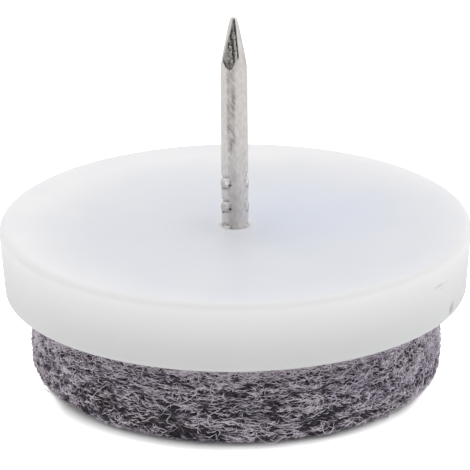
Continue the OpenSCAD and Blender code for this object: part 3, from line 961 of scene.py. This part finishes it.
def feltBody():
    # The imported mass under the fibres: dark, broken up at 0.2 mm, with a bump as deep as a fibre
    material, tree, shader = newMaterial("feltBody")
    place = addNode(tree, "ShaderNodeTexCoord").outputs["Object"]
    layers = addNode(tree, "ShaderNodeMapping", {"Scale": (1, 1, 2.6)}, {"Vector": place})
    mass = addNode(tree, "ShaderNodeTexNoise", {"Scale": 3500.0, "Detail": 4.0, "Roughness": 0.7},
                   {"Vector": layers.outputs[0]})
    shade = setRamp(addNode(tree, "ShaderNodeValToRGB", None, {"Fac": mass.outputs["Fac"]}),
                    [(0.3, "#221f24"), (0.55, "#3a363d"), (0.75, "#6a656d")])
    # the sole is rubbed on floors, paler and evener
    pale = setRamp(addNode(tree, "ShaderNodeValToRGB", None, {"Fac": mass.outputs["Fac"]}),
                   [(0.3, "#4b474d"), (0.5, "#7b757d"), (0.7, "#a29ba4")])
    sole = addNode(tree, "ShaderNodeAttribute", attribute_name="sole")
    mixed = addNode(tree, "ShaderNodeMix", None,
                    {"Factor": sole.outputs["Fac"], "A": shade.outputs["Color"], "B": pale.outputs["Color"]},
                    data_type="RGBA")
    tree.links.new(mixed.outputs[2], shader.inputs["Base Color"])
    lumps = addNode(tree, "ShaderNodeBump", {"Strength": 0.8, "Distance": 0.05 * mm},
                    {"Height": mass.outputs["Fac"]})
    tree.links.new(lumps.outputs["Normal"], shader.inputs["Normal"])
    shader.inputs["Roughness"].default_value = 0.95
    shader.inputs["Specular IOR Level"].default_value = 0.2
    return material


def makeFelt():
    _, wide, edge, wall = feltCore()
    makeFeltCore(feltBody())
    fibre = feltFibre()
    sole = wall + edge * math.pi / 2
    each = felt["wallFibres"] // felt["batches"]
    for batch in range(felt["batches"]):
        makeFibres("feltFibres" + str(batch + 1), fibre, each, -0.1, sole + 0.5, 200 + batch)
    makeFibres("feltSole", fibre, felt["soleFibres"], sole, sole + wide - edge, 300, flat=True)
    makeHairs(fibre)


makeBase(whitePolyethylene())
makeNail(platedWire())
makeFelt()


# Floor and light: a pale table in a light tent, whose roof and sides are brighter than its open front

studio = {
    "floorColour": "#f0f0f0",
    "floorRadius": 1500.0,
    "floorSides": 96,
    "floorLift": 2.6,  # how much brighter the camera sees it, as in a picture levelled for a white ground
    "liftReach": 100.0,  # the lift fades out over this distance, and falls near the felt into a painted contact shadow
    "openFrom": 9.6,  # beside the felt, left and right, painted light takes the contact shadow away
    "openTo": 12.2,
    "openLift": 1.3,
    "front": 0.585,
    "roof": 0.45,
    "sides": 0.58,
    "lean": 0.06,  # more light from the right
}


def addFloor():
    # A flat disc: two rings of points about a middle one
    sides = studio["floorSides"]
    a = np.linspace(0, 2 * math.pi, sides, endpoint=False)
    ring = np.stack([np.cos(a), np.sin(a), 0 * a], -1) * studio["floorRadius"]
    points = np.concatenate([ring, ring / 2, [[0, 0, 0]]])
    j = np.arange(sides)
    beside = (j + 1) % sides
    quads = np.stack([j, beside, beside + sides, j + sides], -1)
    mesh = makeMesh("floor", points, quads, capTriangles(2 * sides, sides, sides, True))
    material, tree, shader = newMaterial("paleTable")
    tree.nodes.remove(shader)
    seen = addNode(tree, "ShaderNodeLightPath").outputs["Is Camera Ray"]
    plain = linearFromHex(studio["floorColour"])
    place = addNode(tree, "ShaderNodeTexCoord").outputs["Object"]
    away = addNode(tree, "ShaderNodeVectorMath", None, {0: place}, operation="LENGTH")
    share = addNode(tree, "ShaderNodeMapRange", {"From Max": studio["liftReach"] * mm},
                    {"Value": away.outputs["Value"]})
    # painted contact shadow: darker within 11.2 mm of the middle, white from 13.7 mm, with less lift far away
    paintedShadowRamp = setRamp(addNode(tree, "ShaderNodeValToRGB", None, {"Fac": share.outputs[0]}),
                   [(0.112, "#adadad"), (0.137, "#ffffff"), (0.3, "#e2e2e2"), (0.8, "#bcbcbc")])
    paintedShadowRamp.color_ramp.interpolation = "EASE"
    # painted light beside the felt, left and right, so that no contact shadow shows there
    across = addNode(tree, "ShaderNodeSeparateXYZ", None, {0: place})
    sideways = addNode(tree, "ShaderNodeMath", None, {0: across.outputs["X"]}, operation="ABSOLUTE")
    besideFelt = addNode(tree, "ShaderNodeMapRange",
                         {"From Min": studio["openFrom"] * mm, "From Max": studio["openTo"] * mm},
                         {"Value": sideways.outputs[0]}, interpolation_type="SMOOTHSTEP")
    opened = addNode(tree, "ShaderNodeMix", {"B": (studio["openLift"],) * 3 + (1,)},
                     {"Factor": besideFelt.outputs[0], "A": paintedShadowRamp.outputs["Color"]}, data_type="RGBA")
    lifted = addNode(tree, "ShaderNodeVectorMath", {"Scale": studio["floorLift"]}, {0: opened.outputs[2]},
                     operation="SCALE")
    colour = addNode(tree, "ShaderNodeMix", {"A": plain}, {"Factor": seen, "B": lifted.outputs[0]},
                     data_type="RGBA")
    matt = addNode(tree, "ShaderNodeBsdfDiffuse", None, {"Color": colour.outputs[2]})
    tree.links.new(matt.outputs[0], tree.nodes["Material Output"].inputs["Surface"])
    mesh.materials.append(material)
    floor = bpy.data.objects.new("floor", mesh)
    bpy.context.collection.objects.link(floor)


def addTent():
    # World light by direction: front + roof * max(z, 0) + sides * x^2 + lean * x
    world = bpy.data.worlds.new("lightTent")
    world.use_nodes = True
    tree = world.node_tree
    direction = addNode(tree, "ShaderNodeTexCoord").outputs["Generated"]
    parts = addNode(tree, "ShaderNodeSeparateXYZ", None, {0: direction})
    roof = addNode(tree, "ShaderNodeMapRange",
                   {"To Min": studio["front"], "To Max": studio["front"] + studio["roof"]},
                   {"Value": parts.outputs["Z"]})
    square = addNode(tree, "ShaderNodeMath", None, {0: parts.outputs["X"], 1: parts.outputs["X"]},
                     operation="MULTIPLY")
    walls = addNode(tree, "ShaderNodeMath", {1: studio["sides"]}, {0: square.outputs[0], 2: roof.outputs[0]},
                    operation="MULTIPLY_ADD")
    glow = addNode(tree, "ShaderNodeMath", {1: studio["lean"]}, {0: parts.outputs["X"], 2: walls.outputs[0]},
                   operation="MULTIPLY_ADD")
    background = tree.nodes["Background"]
    background.inputs["Color"].default_value = (1, 1, 1, 1)
    tree.links.new(glow.outputs[0], background.inputs["Strength"])
    bpy.context.scene.world = world
    bpy.context.scene.view_settings.view_transform = "Standard"


addFloor()
addTent()
print("studio lit")
